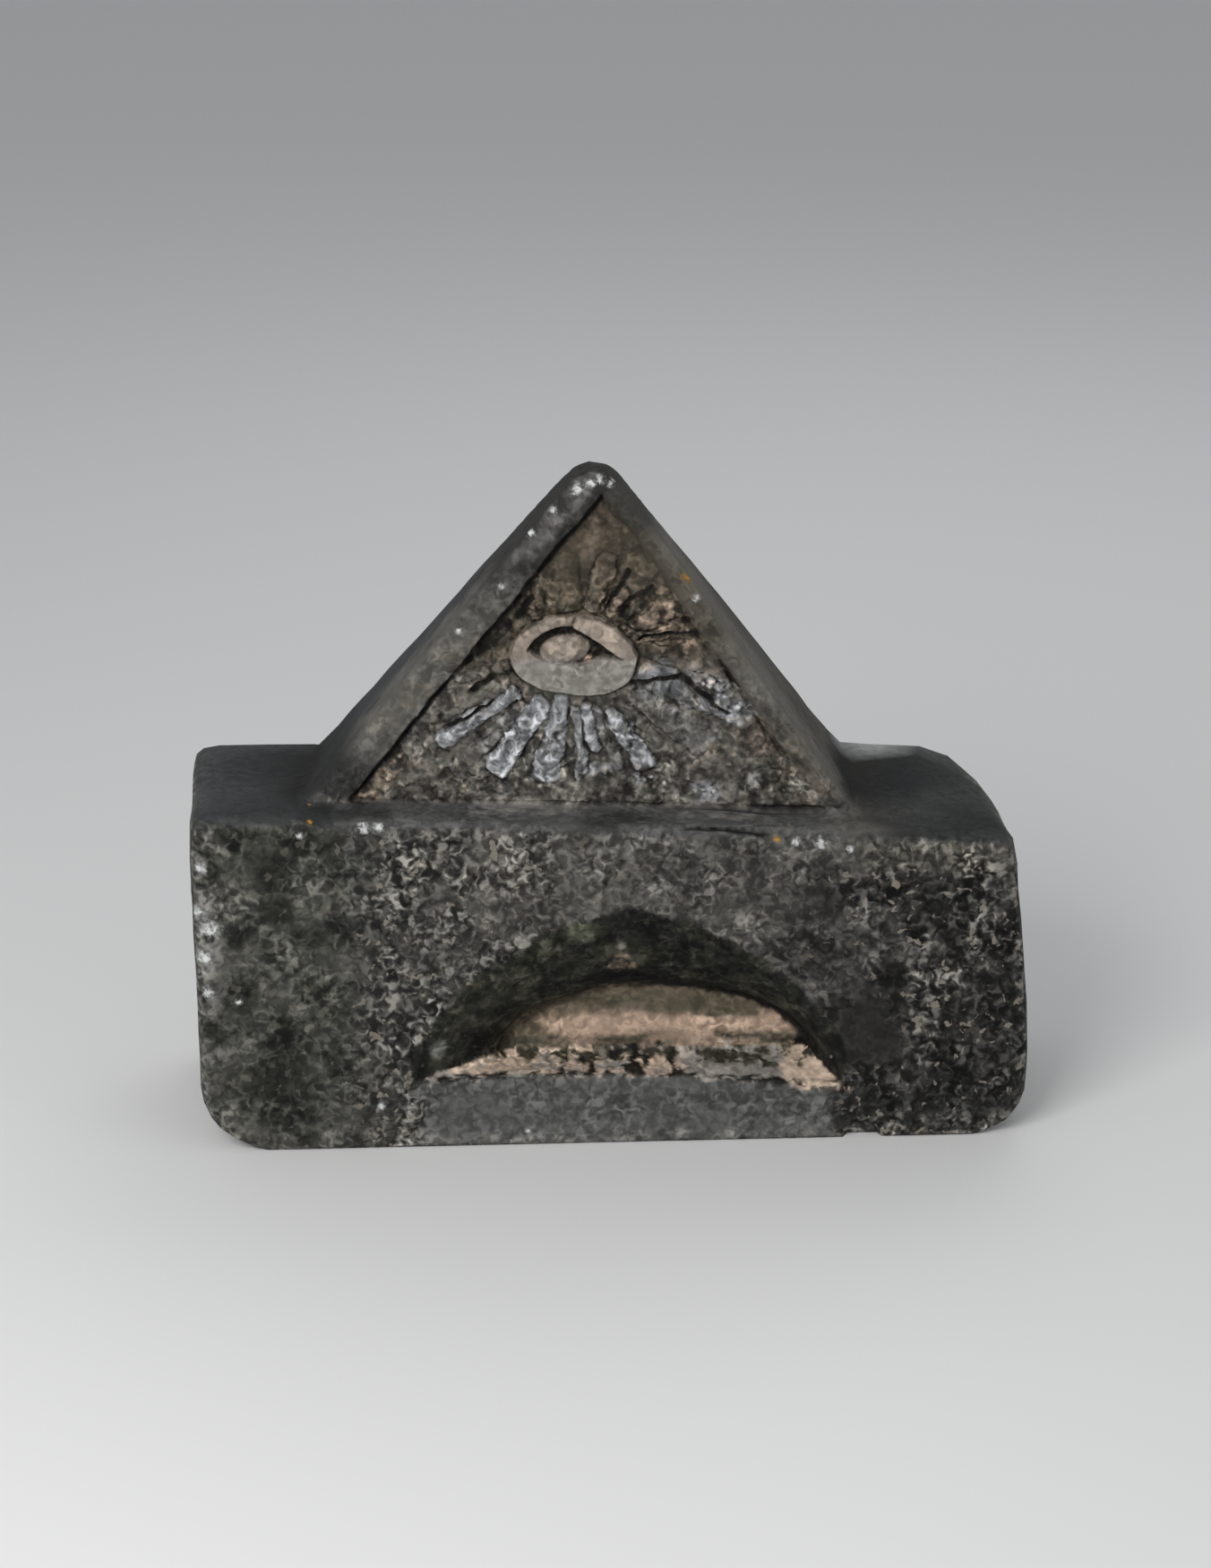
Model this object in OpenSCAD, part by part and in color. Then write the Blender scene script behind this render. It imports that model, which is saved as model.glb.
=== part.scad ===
// Carved stone pediment section.
// One block of stone: a rectangular base block with worn, rounded arrises and a
// blind arched niche in its front, carrying a triangular gable whose raking bands
// frame a sunk panel with an eye and rays in low relief.
// Millimetres, +Z up. The front faces -Y and the origin is the middle of the underside.

/* [Block] */
// Width of the block at its rear, left to right
block_w = 660; // [620:2:700]
// Depth of the block, front to back
block_d = 205; // [195:5:240]
// Height of the block in the middle of its front
block_h = 265; // [255:1:280]
// How far the front edge of the top falls from the left end to the right end
front_fall = 28; // [0:2:32]
// How far the rear edge of the top falls from the left end to the right end
rear_fall = 11; // [0:1:16]
// How much the front of the block stands in from its rear at each end
front_inset = 6; // [0:1:10]
// Radius of the long arrises at the top and up the four corners
arris_r = 12; // [6:1:16]
// Wear of the lower left corner, as a radius
lower_left_r = 58; // [30:2:70]
// Wear of the lower right corner, as a radius
lower_right_r = 46; // [20:2:60]
// Wear of the rear right upper corner, as a radius
rear_right_r = 90; // [20:2:100]
// How far the upper right end leans inwards
right_lean = 20; // [0:2:24]

/* [Gable] */
// Depth of the ledge in front of the gable
ledge_d = 34; // [28:1:44]
// Height of the gable above the block
gable_h = 270; // [255:1:290]
// Distance of the gable's left foot from the middle of the block
left_foot = 240; // [225:1:250]
// Distance of the gable's right foot from the middle of the block
right_foot = 188; // [178:1:200]
// Radius of the worn apex
apex_r = 28; // [12:1:36]
// Thickness of the gable, front to back, at its apex
apex_t = 36; // [16:1:60]
// Width of the left raking band
left_band = 27; // [20:1:32]
// Width of the right raking band
right_band = 19; // [14:1:26]
// Depth of the sunk panel behind the raking bands
panel_sunk = 13; // [8:1:18]

/* [Eye and rays] */
// Width of the eye over its lids
eye_w = 95; // [84:1:104]
// Height of the eye over its lids
eye_h = 65; // [56:1:72]
// Height of the lids above the sunk panel
lid_rise = 12; // [6:1:14]
// Height of the eyeball above the sunk panel
ball_rise = 9; // [5:1:12]
// Height of the strongest rays above the sunk panel
ray_rise = 8; // [3:0.5:10]

/* [Niche] */
// Width of the niche at the front
niche_w = 334; // [300:2:360]
// Height of the niche above its sill at the front
niche_h = 132; // [120:2:140]
// Width of the niche's back panel
niche_back_w = 242; // [220:2:260]
// Height of the niche's back panel above the sill
niche_back_h = 54; // [44:2:64]
// Depth of the niche at its back panel
niche_d = 46; // [30:1:60]
// Height of the sill in the middle
sill_h = 63; // [56:1:70]

/* [Hidden] */

overlap = 6;
half_w = block_w / 2;
half_d = block_d / 2;
front_y = -half_d;
back_y = half_d;

// ---- base block: rounded rings set along X ----
end_r = 15;
foot_r = 8;
arc_steps = 5;
side_steps = 5;
top_steps = 4;
lean_from = 0.26 * block_h;

// Height lost inside radius r at a distance u in from an end.
function round_loss(u, r) = u >= r ? 0 : r - sqrt(r * r - (r - u) * (r - u));

function mix(a, b, t) = a + (b - a) * t;

// Top of the block before its ends are rounded: a slightly twisted plane.
function top_plane(x, y) =
    block_h - x / block_w * mix(front_fall, rear_fall, (y - front_y) / block_d);

function right_top_r(y) = mix(end_r, rear_right_r, (y - front_y) / block_d);

function block_top(x, y) =
    top_plane(x, y) - round_loss(x + half_w, end_r)
                    - round_loss(half_w - x, right_top_r(y));

function block_bottom(x) =
    round_loss(x + half_w, lower_left_r) + round_loss(half_w - x, lower_right_r);

// How far the ends draw in: towards the front at both ends, and towards the top at
// the right end, which bulges at its foot.
function end_shift(x, y, z) =
    let (side = x / half_w, forward = (back_y - y) / block_d)
    sign(x) * front_inset * side * side * forward
    + right_lean * pow(max(0, side), 6) * pow(max(0, z - lean_from) / (block_h - lean_from), 1.3)
      * mix(0.5, 1, forward);

// Quarter circle of the ring's section about (cy, cz), starting at angle a.
function corner(cy, cz, r, a) =
    [for (i = [0:arc_steps - 1]) let (b = a + 90 * i / (arc_steps - 1)) [cy + r * cos(b), cz + r * sin(b)]];

// Section of the block at x, as [y, z] points running front, underside, back, top.
function block_section(x) =
    let (inset = round_loss(x + half_w, end_r) + round_loss(half_w - x, end_r),
         yf = front_y + inset,
         yb = back_y - inset,
         z0 = block_bottom(x),
         zf = block_top(x, yf),
         zb = block_top(x, yb))
    concat(
        [for (i = [1:side_steps]) [yf, mix(zf - arris_r, z0 + foot_r, i / (side_steps + 1))]],
        corner(yf + foot_r, z0 + foot_r, foot_r, 180),
        corner(yb - foot_r, z0 + foot_r, foot_r, 270),
        [for (i = [1:side_steps]) [yb, mix(z0 + foot_r, zb - arris_r, i / (side_steps + 1))]],
        corner(yb - arris_r, zb - arris_r, arris_r, 0),
        [for (i = [1:top_steps])
            let (y = mix(yb - arris_r, yf + arris_r, i / (top_steps + 1))) [y, block_top(x, y)]],
        corner(yf + arris_r, zf - arris_r, arris_r, 90));

// Stations are close together where the ends are rounded.
left_steps = [0, 0.02, 0.07, 0.16, 0.3, 0.5, 0.75, 1];
right_steps = [1, 0.8, 0.6, 0.43, 0.29, 0.18, 0.1, 0.045, 0.015, 0];
mid_stations = 6;
left_reach = max(lower_left_r, end_r);
right_reach = max(lower_right_r, rear_right_r);
stations = concat(
    [for (s = left_steps) -half_w + left_reach * s],
    [for (i = [1:mid_stations])
        mix(-half_w + left_reach, half_w - right_reach, i / (mid_stations + 1))],
    [for (s = right_steps) half_w - right_reach * s]);

// Closed solid through rings that all hold the same number of points, each ring
// running anticlockwise as seen from the last ring looking back at the first.
module lofted(rings) {
    n = len(rings[0]);
    last = len(rings) - 1;
    points = concat([for (ring = rings) each ring], [mean(rings[0]), mean(rings[last])]);
    sides = [for (k = [0:last - 1], i = [0:n - 1])
        let (j = (i + 1) % n)
        each [[k * n + i, (k + 1) * n + i, (k + 1) * n + j], [k * n + i, (k + 1) * n + j, k * n + j]]];
    first_cap = [for (i = [0:n - 1]) [(last + 1) * n, i, (i + 1) % n]];
    last_cap = [for (i = [0:n - 1]) [(last + 1) * n + 1, last * n + (i + 1) % n, last * n + i]];
    polyhedron(points = points, faces = concat(sides, first_cap, last_cap), convexity = 6);
}

function total(v, i = 0) = i == len(v) - 1 ? v[i] : v[i] + total(v, i + 1);
function mean(v) = total(v) / len(v);

module base_block() {
    lofted([for (x = stations) [for (p = block_section(x))
        [x - end_shift(x, p[0], p[1]), p[0], p[1]]]]);
}

// Small break out of the lower front edge, right of the middle.
chip_x = 0.292 * block_w;
chip_w = 27;
chip_size = 19;
module lower_chip() {
    translate([chip_x - chip_w / 2, front_y, 0])
        rotate([45, 0, 0])
            translate([0, -chip_size / 2, -chip_size / 2])
                cube([chip_w, chip_size, chip_size]);
}

// ---- gable ----
gable_y = front_y + ledge_d;
panel_y = gable_y + panel_sunk;
apex_z = block_h + gable_h;
apex_x = -15;
apex_cz = apex_z - apex_r;
rear_left_foot = left_foot - 14;
rear_right_foot = right_foot + 3;
foot_sink = 12;
edge_wear = 4;

function left_foot_z() = top_plane(-left_foot, gable_y);
function right_foot_z() = top_plane(right_foot, gable_y);

// Front outline of the gable drawn in by d, as a plate t thick at depth y.
module gable_plate(y, t, d) {
    translate([0, y, 0])
        rotate([90, 0, 0])
            translate([0, 0, -t])
                linear_extrude(t)
                    hull() {
                        translate([apex_x, apex_cz])
                            circle(r = apex_r - d, $fn = 40);
                        polygon([[-left_foot + d, left_foot_z()], [right_foot - d, right_foot_z()],
                                 [right_foot - d, right_foot_z() - foot_sink],
                                 [-left_foot + d, left_foot_z() - foot_sink]]);
                    }
}

// The gable keeps its full depth at its foot and thins towards the apex, behind.
module gable_body() {
    hull() {
        gable_plate(gable_y, 1, edge_wear);
        gable_plate(gable_y + edge_wear / 3, 1, edge_wear / 3);
        gable_plate(gable_y + edge_wear, apex_t - edge_wear, 0);
        translate([-rear_left_foot, back_y - 1, top_plane(-left_foot, back_y) - foot_sink])
            cube([rear_left_foot, 1, foot_sink]);
        translate([0, back_y - 1, top_plane(right_foot, back_y) - foot_sink])
            cube([rear_right_foot, 1, foot_sink]);
    }
}

// Slopes of the two rakes, from the feet to where they touch the apex circle.
function rake_angle(foot_x, foot_z) =
    let (dx = abs(apex_x - foot_x), dz = apex_cz - foot_z, far = norm([dx, dz]))
    atan2(dz, dx) + asin(apex_r / far);
left_rake = rake_angle(-left_foot, left_foot_z());
right_rake = rake_angle(right_foot, right_foot_z());
panel_left = -left_foot + left_band / sin(left_rake);
panel_right = right_foot - right_band / sin(right_rake);
// The panel's two upper sides run along the rakes and meet at its own apex.
panel_w = panel_right - panel_left;
panel_step = left_foot_z() - right_foot_z();
panel_run = (panel_w * tan(right_rake) - panel_step) / (tan(left_rake) + tan(right_rake));
panel_top = [panel_left + panel_run, left_foot_z() + panel_run * tan(left_rake)];

module sunk_panel() {
    translate([0, panel_y, 0])
        rotate([90, 0, 0])
            linear_extrude(panel_sunk + overlap)
                polygon([[panel_left, left_foot_z()], [panel_right, right_foot_z()], panel_top]);
}

// ---- eye ----
eye_x = -31;
eye_z = 0.46 * gable_h + block_h;
eye_tilt = -5;
open_w = 0.74 * eye_w;
open_h = 0.44 * eye_h;
lid_stations = 44;
embed = 3;

// Point on a rounded outline; power 2 is an ellipse and 1 is a lozenge.
function outline_point(a, w, h, power) =
    let (c = cos(a), s = sin(a))
    [w / 2 * sign(c) * pow(abs(c), 2 / power), h / 2 * sign(s) * pow(abs(s), 2 / power)];

function outer_lid(a) = outline_point(a, eye_w, eye_h, a < 180 ? 1.7 : 2.1);
function inner_lid(a) = outline_point(a, open_w, open_h, a < 180 ? 1.15 : 1.8);

// Section across the lids at angle a, from the outer foot over the crest to the opening.
function lid_section(a) =
    let (o = outer_lid(a), i = inner_lid(a) + [0, 0.04 * eye_h])
    [for (p = [[0, -embed], [0.04, 0.6 * lid_rise], [0.25, 0.95 * lid_rise], [0.6, lid_rise],
               [0.92, 0.85 * lid_rise], [1, 0.2 * lid_rise], [1, -embed]])
        let (q = mix(o, i, p[0])) [q[0], -p[1], q[1]]];

module eye_lids() {
    n = 7;
    points = [for (k = [0:lid_stations - 1]) each lid_section(360 * k / lid_stations)];
    faces = [for (k = [0:lid_stations - 1], i = [0:n - 1])
        let (k2 = (k + 1) % lid_stations, i2 = (i + 1) % n)
        each [[k * n + i, k * n + i2, k2 * n + i2], [k * n + i, k2 * n + i2, k2 * n + i]]];
    polyhedron(points = points, faces = faces, convexity = 6);
}

module eye() {
    ball_half_w = 17;
    ball_r = (ball_half_w * ball_half_w + ball_rise * ball_rise) / (2 * ball_rise);
    translate([eye_x, panel_y, eye_z])
        rotate([0, -eye_tilt, 0]) {
            eye_lids();
            intersection() {
                translate([-4, ball_r - ball_rise, 3])
                    sphere(r = ball_r, $fn = 48);
                translate([-4, 0, 3])
                    rotate([90, 0, 0])
                        cylinder(h = 4 * ball_rise, r = ball_half_w, center = true, $fn = 48);
            }
        }
}

// ---- rays ----
// Direction in degrees from +X, inner and outer distance from the eye's centre,
// width at each end, and height as a share of the strongest rays.
RAYS = [
    [12, 47, 84, 5, 7, 0.6], [23, 56, 88, 13, 16, 0.8], [34, 50, 74, 6, 9, 0.5],
    [49, 43, 60, 7, 9, 0.8], [67, 38, 78, 9, 14, 1.0], [96, 38, 78, 24, 30, 0.5],
    [128, 38, 50, 12, 14, 0.7], [-15, 50, 80, 18, 6, 0.9], [-22, 84, 142, 12, 18, 0.5],
    [-36, 64, 120, 12, 20, 0.9], [-48, 58, 104, 6, 8, 0.5], [-59, 60, 104, 9, 12, 0.9],
    [-70, 46, 98, 4, 6, 0.6], [-77, 43, 74, 5, 6, 0.8], [-86, 44, 98, 5, 7, 0.6],
    [-102, 42, 93, 11, 17, 0.9], [-113, 48, 104, 5, 7, 0.5], [-123, 49, 105, 10, 13, 1.0],
    [-134, 58, 128, 7, 14, 0.6], [-146, 54, 120, 12, 14, 1.0], [-158, 60, 116, 18, 22, 0.6],
    [-168, 49, 86, 8, 9, 0.7]];

// A low bar along +X from r0 to r1 with a six-sided section and blunt ends.
module ray_bar(r0, r1, w0, w1, rise) {
    blunt = min(4, (r1 - r0) / 5);
    rings = [for (p = [[r0, 0.45, 0.35], [r0 + blunt, 1, 0.9], [r1 - blunt, 1, 1], [r1, 0.5, 0.35]])
        let (w = mix(w0, w1, (p[0] - r0) / (r1 - r0)) * p[1], h = rise * p[2])
        [[p[0], embed, w / 2], [p[0], -0.55 * h, w / 2], [p[0], -h, w / 4],
         [p[0], -h, -w / 4], [p[0], -0.55 * h, -w / 2], [p[0], embed, -w / 2]]];
    lofted(rings);
}

module rays() {
    translate([eye_x, panel_y, eye_z])
        for (r = RAYS)
            rotate([0, -r[0], 0])
                ray_bar(r[1], r[2], r[3], r[4], ray_rise * r[5]);
}

// ---- niche ----
niche_x = 10;
niche_back_x = 32;
niche_power = 1.5;
niche_back_power = 1.9;
arch_steps = 26;
floor_steps = 8;
niche_rings = 6;

// Height of the sill's edge at x at the front: bowed, and lower to the right.
function sill_line(x) =
    let (u = (x - niche_x) / (niche_w / 2)) sill_h - (12 * u * u + 7 * u) * niche_w / 334;

// Outline of the niche at share t of its depth, as a closed ring on plane y.
function niche_ring(t, y) =
    let (s = sin(90 * t),
         cx = mix(niche_x, niche_back_x, s),
         w = mix(niche_w, niche_back_w, s),
         h = mix(niche_h, niche_back_h, s),
         left_z = mix(sill_line(niche_x - niche_w / 2), sill_h, s),
         right_z = mix(sill_line(niche_x + niche_w / 2), sill_h - 4, s))
    concat(
        [for (i = [0:arch_steps])
            let (a = 180 - 180 * i / arch_steps,
                 p = outline_point(a, w, 2, mix(niche_power, niche_back_power, s)),
                 base = mix(right_z, left_z, (1 - 2 * p[0] / w) / 2),
                 top = mix(sill_line(niche_x), sill_h, s) + h)
            [cx + p[0], y, base + (top - base) * p[1]]],
        [for (i = [1:floor_steps])
            let (u = 1 - 2 * i / (floor_steps + 1), x = cx + u * w / 2,
                 z = mix(sill_line(x), mix(sill_h, sill_h - 4, (u + 1) / 2), s))
            [x, y, z]]);

module niche() {
    rings = concat(
        [niche_ring(0, front_y - overlap)],
        [for (k = [0:niche_rings]) let (t = k / niche_rings) niche_ring(t, front_y + niche_d * t)]);
    lofted(rings);
}

module pediment_stone() {
    color("dimgray")
        difference() {
            union() {
                difference() {
                    union() {
                        base_block();
                        gable_body();
                    }
                    sunk_panel();
                }
                eye();
                rays();
            }
            niche();
            lower_chip();
        }
}

pediment_stone();
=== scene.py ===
"""A weathered carved stone pediment section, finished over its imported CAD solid."""
import math
from itertools import product
from types import SimpleNamespace

import bpy
import numpy as np
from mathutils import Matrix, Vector


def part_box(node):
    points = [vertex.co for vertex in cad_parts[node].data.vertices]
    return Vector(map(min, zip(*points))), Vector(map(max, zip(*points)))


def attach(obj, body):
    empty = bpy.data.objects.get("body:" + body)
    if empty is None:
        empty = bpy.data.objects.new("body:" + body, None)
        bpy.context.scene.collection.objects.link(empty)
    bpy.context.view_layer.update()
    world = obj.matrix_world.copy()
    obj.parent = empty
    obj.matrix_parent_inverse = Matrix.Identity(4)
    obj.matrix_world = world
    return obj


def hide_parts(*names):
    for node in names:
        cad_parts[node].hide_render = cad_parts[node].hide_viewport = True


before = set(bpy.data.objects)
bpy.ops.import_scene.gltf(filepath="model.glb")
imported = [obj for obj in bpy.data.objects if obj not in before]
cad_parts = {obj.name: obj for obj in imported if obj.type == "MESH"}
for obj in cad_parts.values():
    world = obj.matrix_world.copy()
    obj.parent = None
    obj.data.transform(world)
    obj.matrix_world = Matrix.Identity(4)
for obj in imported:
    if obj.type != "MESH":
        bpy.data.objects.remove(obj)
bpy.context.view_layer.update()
NODE = "pediment_stone"
low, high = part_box(NODE)

# ---- sizes
# The sculpting works in millimetres. Sizes repeat the CAD's driving dimensions.
MM = 0.001
LEFT, RIGHT = low.x / MM, high.x / MM
FRONT, BACK = low.y / MM, high.y / MM
APEX = high.z / MM
BLOCK_H = 265
FRONT_FALL, REAR_FALL = 28, 11
GABLE_Y = FRONT + 34
PANEL_SUNK = 13
PANEL_Y = GABLE_Y + PANEL_SUNK
LEFT_FOOT, RIGHT_FOOT = -240, 188
LEFT_BAND, RIGHT_BAND = 27, 19
APEX_X, APEX_R = -15, 28
EYE_X, EYE_Z = -31, 389
NICHE_X, NICHE_W, NICHE_H = 10, 334, 132
NICHE_BACK_X, NICHE_BACK_W, NICHE_BACK_H = 32, 242, 54
NICHE_D, SILL_H = 46, 63
NICHE_POWER, NICHE_BACK_POWER = 1.5, 1.9
# Room that holds all of the niche and its sill's edge: half widths, then heights.
NICHE_REACH, SILL_REACH, NICHE_LOW, NICHE_TOP = 178, 172, 25, 215
CHIP_X = 193
WELD, VOXEL = 0.02, 1.3
FACE_LIMIT = 196000


# ---- numbers
def step(low_end, high_end, value):
    """Smooth change from 0 at low_end to 1 at high_end."""
    t = np.clip((value - low_end) / (high_end - low_end), 0, 1)
    return t * t * (3 - 2 * t)


def blend(a, b, t):
    return a + (b - a) * t


def hashed(ix, iy, iz, seed):
    """A repeatable random number from 0 to 1 for each lattice point."""
    h = ix * 374761393 + iy * 668265263 + iz * 1440662683 + seed * 9781493
    h = (h ^ (h >> 13)) * 1274126177 & 0x7FFFFFFF
    h = (h ^ (h >> 15)) * 2246822519 & 0x7FFFFFFF
    return ((h >> 8) & 0xFFFF) / 65535


def value_noise(p, size, seed):
    """Smooth noise from -1 to 1 whose lumps measure about size."""
    q = p / size
    cell = np.floor(q).astype(np.int64)
    f = q - cell
    f = f * f * f * (f * (6 * f - 15) + 10)
    total = np.zeros(len(p))
    for corner in product((0, 1), repeat=3):
        wx, wy, wz = np.where(corner, f, 1 - f).T
        total += wx * wy * wz * hashed(*(cell + corner).T, seed)
    return 2 * total - 1


def layered_noise(p, size, seed, octaves=3, gain=0.5):
    """Several sizes of noise together, from -1 to 1 or so."""
    total, share, reach = np.zeros(len(p)), 1, 0
    for i in range(octaves):
        total += share * value_noise(p + 17.3 * i, size / 2.1**i, seed + i)
        reach += share
        share *= gain
    return total / reach


def pits(p, size, seed, chance=0.6):
    """Round hollows, one or none in each cell: 1 at a hollow's middle, 0 outside it."""
    cell = np.floor(p / size).astype(np.int64)
    deepest = np.zeros(len(p))
    for offset in product((-1, 0, 1), repeat=3):
        c = cell + offset
        middle = np.stack([hashed(*c.T, seed + k) for k in (1, 2, 3)], axis=1)
        away = np.linalg.norm(p - (c + middle) * size, axis=1)
        radius = size * (0.15 + 0.4 * hashed(*c.T, seed + 4))
        there = hashed(*c.T, seed + 5) < chance
        deepest = np.maximum(deepest, np.clip(1 - (away / radius) ** 2, 0, 1) * there)
    return deepest


# ---- mesh helpers
def read_all(items, name, width, kind=float):
    """One property of each vertex or edge, as rows."""
    flat = np.empty(width * len(items), dtype=kind)
    items.foreach_get(name, flat)
    return flat.reshape(-1, width)


def positions(mesh):
    return read_all(mesh.vertices, "co", 3) / MM


def normals(mesh):
    return read_all(mesh.vertex_normals, "vector", 3)


def edge_ends(mesh):
    return read_all(mesh.edges, "vertices", 2, np.int64)


def move_to(mesh, p):
    mesh.vertices.foreach_set("co", (p * MM).ravel())
    mesh.update()


def neighbour_mean(values, ends):
    """Mean of each vertex's neighbours, for one column or several."""
    a, b = ends.T
    n = len(values)
    degree = np.bincount(a, minlength=n) + np.bincount(b, minlength=n)
    columns = values.reshape(n, -1)
    out = np.empty_like(columns)
    for k in range(columns.shape[1]):
        c = columns[:, k]
        out[:, k] = np.bincount(a, c[b], n) + np.bincount(b, c[a], n)
    return (out / degree[:, None]).reshape(values.shape)


def smoothed(values, ends, rounds, amount=None):
    """Values relaxed towards their neighbours, all alike or by an amount for each vertex."""
    if amount is None:
        for _ in range(rounds):
            values = values + 0.5 * (neighbour_mean(values, ends) - values)
        return values
    active = amount > 0.002
    near = ends[active[ends[:, 0]] | active[ends[:, 1]]]
    used, local = np.unique(near, return_inverse=True)
    local = local.reshape(-1, 2)
    part, share = values[used], amount[used]
    share = np.where(active[used], share, 0)
    if values.ndim > 1:
        share = share[:, None]
    for _ in range(rounds):
        part = part + 0.5 * share * (neighbour_mean(part, local) - part)
    values = values.copy()
    values[used] = part
    return values


def applied(obj, modifier):
    """Leaves obj with the mesh that its modifier makes."""
    bpy.context.view_layer.update()
    depsgraph = bpy.context.evaluated_depsgraph_get()
    made = bpy.data.meshes.new_from_object(obj.evaluated_get(depsgraph))
    obj.modifiers.remove(modifier)
    old, obj.data = obj.data, made
    bpy.data.meshes.remove(old)


# ---- where things are
def top_plane(x, y):
    """Height of the block's top, a slightly twisted plane that falls to the right."""
    return BLOCK_H - x / (RIGHT - LEFT) * blend(FRONT_FALL, REAR_FALL, (y - FRONT) / (BACK - FRONT))


def rake_angle(foot_x):
    """Slope of a rake, from its foot to where it touches the apex circle."""
    dx = abs(APEX_X - foot_x)
    dz = APEX - APEX_R - top_plane(foot_x, GABLE_Y)
    return math.atan2(dz, dx) + math.asin(APEX_R / math.hypot(dx, dz))


LEFT_RAKE, RIGHT_RAKE = rake_angle(LEFT_FOOT), rake_angle(RIGHT_FOOT)


def inside_left(x, z):
    """Distance in from the left band's inner edge."""
    foot = LEFT_FOOT + LEFT_BAND / math.sin(LEFT_RAKE)
    rise = top_plane(LEFT_FOOT, GABLE_Y)
    return (x - foot) * math.sin(LEFT_RAKE) - (z - rise) * math.cos(LEFT_RAKE)


def inside_right(x, z):
    """Distance in from the right band's inner edge."""
    foot = RIGHT_FOOT - RIGHT_BAND / math.sin(RIGHT_RAKE)
    rise = top_plane(RIGHT_FOOT, GABLE_Y)
    return (foot - x) * math.sin(RIGHT_RAKE) - (z - rise) * math.cos(RIGHT_RAKE)


def sill_line(x):
    """Height of the sill's front edge, which bends down towards the right."""
    u = (x - NICHE_X) / (NICHE_W / 2)
    return SILL_H - (12 * u * u + 7 * u)


def inside_arch(x, z, centre, width, height, power):
    """Distance in from an arch that stands on the sill, near enough."""
    u, v = np.abs(x - centre) / (width / 2), np.maximum(z - SILL_H, 0) / height
    return height * (1 - (u**power + v**power) ** (1 / power))


# ---- relief
# Rays: direction in degrees from +X, inner and outer distance from the eye's centre,
# width at each end, height in millimetres, and how pale its worn top is.
RAYS = [
    (12, 47, 86, 4.5, 7, 5, 0.45), (25, 52, 88, 12, 17, 6.5, 0.4), (36, 50, 74, 5, 8, 4.5, 0.2),
    (52, 46, 62, 7, 9, 6, 0.5), (70, 40, 78, 11, 13, 9, 0.35), (99, 40, 82, 24, 32, 5, 0.05),
    (128, 38, 52, 12, 14, 6, 0.5), (-14, 50, 80, 19, 7, 7, 0.5), (-22, 84, 142, 14, 20, 5, 0.4),
    (-36, 62, 120, 14, 24, 5, 0.3), (-48, 58, 104, 6, 9, 4, 0.2), (-59, 58, 106, 9, 15, 7, 0.8),
    (-70, 46, 98, 4, 6, 5, 0.35), (-77, 43, 78, 5, 7, 6.5, 0.7), (-86, 44, 98, 5, 7, 5, 0.45),
    (-103, 40, 98, 12, 20, 7, 0.6), (-113, 48, 104, 5, 7, 4, 0.2), (-123, 47, 106, 15, 19, 8, 1),
    (-134, 58, 128, 7, 13, 5, 0.3), (-146, 54, 120, 9, 13, 8, 0.75), (-158, 58, 118, 16, 24, 5, 0.1),
    (-169, 52, 88, 8, 12, 5.5, 0.3)]
EYE_W, EYE_H, EYE_TILT = 97, 65, math.radians(-6.4)
LID_RISE, BALL_RISE = 11, 9.5
# Heaps of broken stone in the panel: place, radius and how pale they are.
RUBBLE = [
    (74, 359, 17, 1), (91, 341, 13, 0.9), (60, 374, 9, 0.8), (-189, 276, 12, 1),
    (-177, 291, 11, 0.8), (-165, 307, 9, 0.7), (13, 330, 6, 0.9), (-7, 294, 7, 0.9),
    (-66, 427, 11, 0.7), (23, 291, 14, 0.6), (-20, 296, 10, 0.6), (70, 274, 16, 0.6),
    (-86, 283, 12, 0.3), (110, 318, 9, 0.5), (12, 407, 9, 0.5), (27, 412, 9, 0.6),
    (36, 394, 14, 0.4), (54, 388, 9, 0.3), (44, 418, 10, 0.5), (-58, 421, 8, 0.6),
    (-94, 379, 8, 0.4), (108, 284, 12, 0.3), (-101, 407, 7, 0.9), (-64, 441, 6, 0.8)]
# Where the panel is shattered into bright splinters: place and radius.
SHATTERED = [(40, 420, 24), (20, 410, 15), (54, 402, 13), (-105, 404, 14), (-63, 440, 8), (4, 414, 10)]
SPLINTER, SPLINTER_STRETCH = 7, (1, 0.6, 1.2)
# Deep cuts in the panel, each from one place to another, with a half width.
CUTS = [((14, 365), (50, 370), 2.4), ((50, 370), (86, 338), 2), ((-6, 425), (12, 452), 2),
        ((-96, 396), (-82, 412), 5), ((-112, 384), (-100, 392), 4), ((-90, 372), (-108, 362), 2.2),
        ((-72, 418), (-62, 434), 2.5), ((4, 424), (28, 440), 1.8), ((-128, 330), (-92, 352), 1.6),
        ((80, 383), (95, 360), 2.2), ((20, 400), (58, 405), 1.6)]


def splinter_noise(p):
    return layered_noise(p * SPLINTER_STRETCH, SPLINTER, 260, 3, 0.6)


def slit_depth(x, y):
    """1 in the middle of the two slits in the ledge under the panel, 0 outside them."""
    rear = np.exp(-((y + 57 + 0.04 * (x - 100)) / 2.2) ** 2) * step(40, 60, x) * step(165, 140, x)
    front = np.exp(-((y + 94.5 + 0.02 * (x - 90)) / 3.4) ** 2) * step(42, 66, x) * step(128, 104, x)
    return np.maximum(rear, front)


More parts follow.
